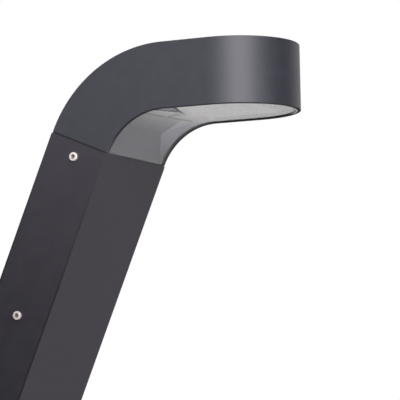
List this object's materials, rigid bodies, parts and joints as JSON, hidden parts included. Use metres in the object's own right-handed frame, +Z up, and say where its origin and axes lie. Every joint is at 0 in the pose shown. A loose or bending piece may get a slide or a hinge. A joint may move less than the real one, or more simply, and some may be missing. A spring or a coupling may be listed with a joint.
{
  "type": "outdoor wall light",
  "caption": "Outdoor wall light: a slanted rectangular arm carries a bent head with a half-round end and a clear window underneath, and its mitred foot covers a wall bracket.",
  "frame": {"origin": "on the wall plane, midway between the two wall bolts, where the arm's axis meets the wall", "axes": "+X straight out from the wall, +Y sideways, +Z up"},
  "size_m": [0.2754, 0.1256, 0.3641],
  "materials": {
    "coated_metal": "fine anthracite powder coat",
    "seal": "matt",
    "clear_plastic": "clear",
    "black_plastic": "matt",
    "stainless": "bright",
    "grey_sheet": "light grey, satin",
    "grey_pad": "matt",
    "white_board": "white solder mask",
    "emitter": "phosphor",
    "white_plastic": "matt",
    "zinc_steel": "zinc plated",
    "brown_sleeve": "satin",
    "blue_sleeve": "satin",
    "green_sleeve": "satin"
  },
  "bodies": {
    "root": {"head_housing": "coated_metal", "arm_tube": "coated_metal", "joint_gasket": "seal", "window_gasket": "seal", "wall_gasket": "seal", "window": "clear_plastic", "window_catches": "black_plastic", "joint_screws": "stainless", "bracket_screws": "stainless", "tray_screws": "stainless", "reflector_tray": "grey_sheet", "thermal_pad": "grey_pad", "led_board": "white_board", "led_emitters": "emitter", "led_connector": "white_plastic", "led_cable": "black_plastic", "wall_bracket": "zinc_steel", "bracket_nuts": "zinc_steel", "earth_tab": "zinc_steel", "cable_gland": "black_plastic", "led_driver": "white_plastic", "terminal_block": "white_plastic", "live_lead": "brown_sleeve", "neutral_lead": "blue_sleeve", "earth_lead": "green_sleeve"}
  },
  "joints": []
}
